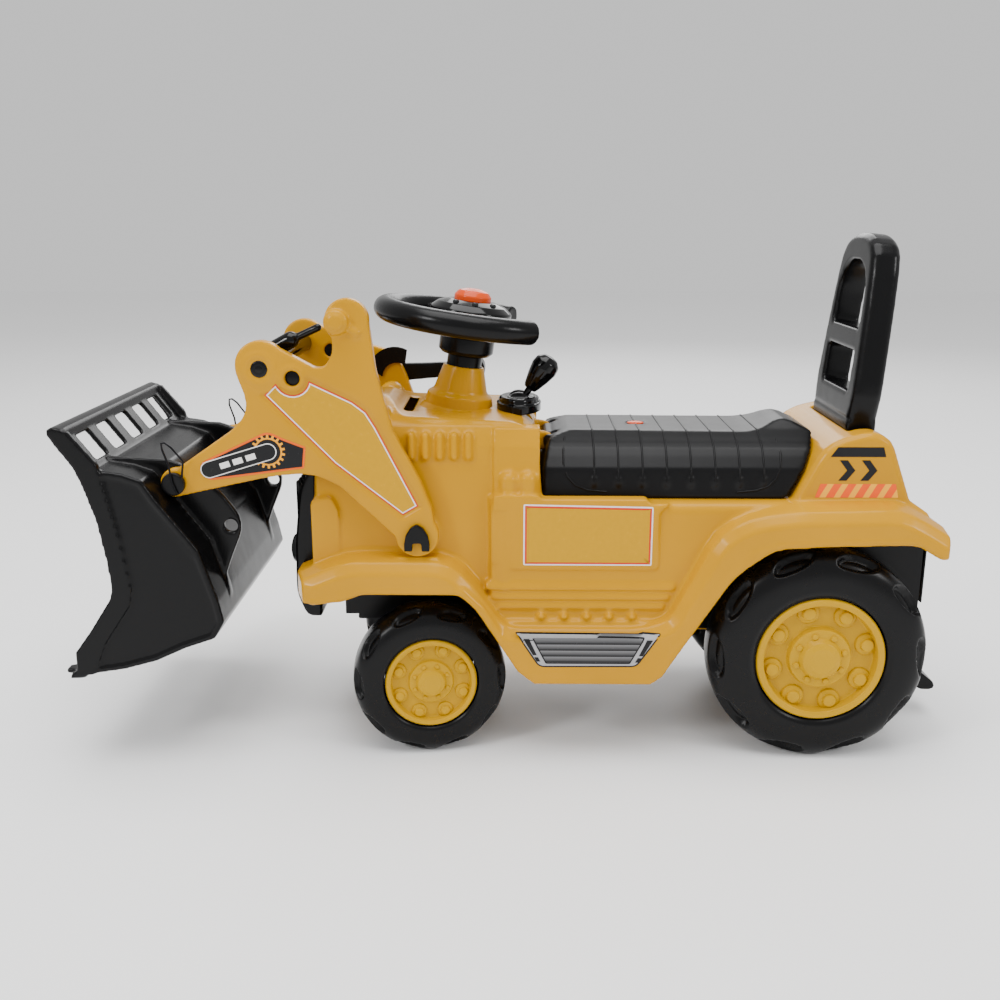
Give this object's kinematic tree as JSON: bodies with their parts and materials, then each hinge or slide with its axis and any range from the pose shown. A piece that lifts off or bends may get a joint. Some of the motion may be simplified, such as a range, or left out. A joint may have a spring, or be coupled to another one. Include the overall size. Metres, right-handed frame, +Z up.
{
  "type": "ride-on digger",
  "caption": "Child's foot-to-floor ride-on digger with a steered front axle, lifting bucket, opening seat and backrest.",
  "frame": {"origin": "on the floor, under the middle of the overall length and width", "axes": "+X forward towards the bucket, +Y to the rider's left, +Z up"},
  "size_m": [0.809, 0.256, 0.462],
  "materials": {
    "yellow_shell": "moulded, semi-gloss warm yellow",
    "yellow_rim": "moulded, semi-gloss lemon yellow",
    "black_shell": "moulded, satin black with fine grain",
    "black_gloss": "polished black",
    "black_tyre": "blow-moulded, satin black",
    "orange_trim": "moulded, glossy orange",
    "grey_lamp": "moulded, satin grey",
    "steel": "bright zinc plated",
    "dark_wire": "blackened spring wire"
  },
  "bodies": {
    "body": {"body_shell": "yellow_shell", "front_grille": "black_shell", "headlamp_left": "grey_lamp", "headlamp_right": "grey_lamp", "chassis_pan": "black_shell", "rear_axle": "steel", "front_axle_beam": "black_shell", "kingpin_left": "steel", "kingpin_right": "steel", "gear_base": "black_gloss", "backrest": "black_shell", "seat_pin": "steel", "boom_pin_left": "black_shell", "boom_pin_right": "black_shell", "tow_hook": "black_shell", "tip_stop": "black_shell", "push_nut_rear_left": "steel", "push_nut_rear_right": "steel"},
    "steering": {"steering_shaft": "steel", "steering_tube": "black_shell", "steering_collar": "black_shell", "steering_wheel": "black_shell", "hub_cover": "black_shell", "sound_module": "grey_lamp"},
    "horn": {"horn_button": "orange_trim"},
    "sound_1": {"sound_button_1": "grey_lamp"},
    "sound_2": {"sound_button_2": "grey_lamp"},
    "sound_3": {"sound_button_3": "grey_lamp"},
    "tie_rod": {"tie_rod": "steel"},
    "knuckle_left": {"knuckle_left": "black_shell", "push_nut_front_left": "steel"},
    "knuckle_right": {"knuckle_right": "black_shell", "push_nut_front_right": "steel"},
    "seat": {"seat_lid": "black_shell", "seat_badge": "orange_trim"},
    "gear": {"gear_lever": "black_gloss", "gear_knob": "black_gloss"},
    "boom": {"boom_plate_left": "yellow_shell", "boom_plate_right": "yellow_shell", "cross_rod": "steel", "spacer_tube": "black_shell", "lift_handle": "black_shell"},
    "bucket": {"bucket": "black_shell", "bucket_pin_left": "black_shell", "bucket_pin_right": "black_shell", "pin_loop_left": "dark_wire", "pin_loop_right": "dark_wire"},
    "wheel_rear_left": {"tyre_rear_left": "black_tyre", "rim_rear_left": "yellow_rim", "hub_cap_rear_left": "yellow_rim"},
    "wheel_rear_right": {"tyre_rear_right": "black_tyre", "rim_rear_right": "yellow_rim", "hub_cap_rear_right": "yellow_rim"},
    "wheel_front_left": {"tyre_front_left": "black_tyre", "rim_front_left": "yellow_rim", "hub_cap_front_left": "yellow_rim"},
    "wheel_front_right": {"tyre_front_right": "black_tyre", "rim_front_right": "yellow_rim", "hub_cap_front_right": "yellow_rim"}
  },
  "joints": [
    {"name": "steer", "type": "hinge", "parent": "body", "child": "steering", "pos_m": [0.0525, 0, 0.357], "axis": [-0.1392, 0, 0.9903], "range_deg": [-24, 8]},
    {"name": "tie_rod_pivot", "type": "hinge", "parent": "steering", "child": "tie_rod", "pos_m": [0.06158, -0.0039, 0.09314], "axis": [-0.1392, 0, 0.9903], "range_deg": [-8, 24]},
    {"name": "knuckle_left_turn", "type": "hinge", "parent": "body", "child": "knuckle_left", "pos_m": [0.0895, 0.044, 0.07], "axis": [0, 0, 1], "range_deg": [-24, 8]},
    {"name": "knuckle_right_turn", "type": "hinge", "parent": "body", "child": "knuckle_right", "pos_m": [0.0895, -0.044, 0.07], "axis": [0, 0, 1], "range_deg": [-24, 8]},
    {"name": "rear_left_spin", "type": "hinge", "parent": "body", "child": "wheel_rear_left", "pos_m": [-0.2635, 0.084, 0.0975], "axis": [0, 1, 0], "continuous": true},
    {"name": "front_left_spin", "type": "hinge", "parent": "knuckle_left", "child": "wheel_front_left", "pos_m": [0.08449, 0.07965, 0.0695], "axis": [-0.1392, 0.9903, 0], "continuous": true},
    {"name": "rear_right_spin", "type": "hinge", "parent": "body", "child": "wheel_rear_right", "pos_m": [-0.2635, -0.084, 0.0975], "axis": [0, 1, 0], "continuous": true},
    {"name": "front_right_spin", "type": "hinge", "parent": "knuckle_right", "child": "wheel_front_right", "pos_m": [0.09451, -0.07965, 0.0695], "axis": [-0.1392, 0.9903, 0], "continuous": true},
    {"name": "horn_press", "type": "slide", "parent": "steering", "child": "horn", "axis": [0.1392, 0, -0.9903], "range_m": [0, 0.0025], "stiffness_N_per_m": 900},
    {"name": "sound_press_1", "type": "slide", "parent": "steering", "child": "sound_1", "axis": [0.1392, 0, -0.9903], "range_m": [0, 0.0015], "stiffness_N_per_m": 300},
    {"name": "sound_press_2", "type": "slide", "parent": "steering", "child": "sound_2", "axis": [0.1392, 0, -0.9903], "range_m": [0, 0.0015], "stiffness_N_per_m": 300},
    {"name": "sound_press_3", "type": "slide", "parent": "steering", "child": "sound_3", "axis": [0.1392, 0, -0.9903], "range_m": [0, 0.0015], "stiffness_N_per_m": 300},
    {"name": "seat_hinge", "type": "hinge", "parent": "body", "child": "seat", "pos_m": [-0.0215, 0, 0.279], "axis": [0, 1, 0], "range_deg": [0, 60]},
    {"name": "gear_shift", "type": "hinge", "parent": "body", "child": "gear", "pos_m": [0.0035, 0, 0.307], "axis": [0, 1, 0], "range_deg": [0, 50]},
    {"name": "boom_lift", "type": "hinge", "parent": "body", "child": "boom", "pos_m": [0.0915, 0, 0.208], "axis": [0, -1, 0], "range_deg": [0, 24]},
    {"name": "bucket_tilt", "type": "hinge", "parent": "boom", "child": "bucket", "pos_m": [0.2985, 0, 0.255], "axis": [0, -1, 0], "range_deg": [0, 50]}
  ],
  "couplings": [
    {"joint": "tie_rod_pivot", "follows": "steer", "ratio": -1},
    {"joint": "knuckle_left_turn", "follows": "steer", "ratio": 1},
    {"joint": "knuckle_right_turn", "follows": "steer", "ratio": 1}
  ]
}
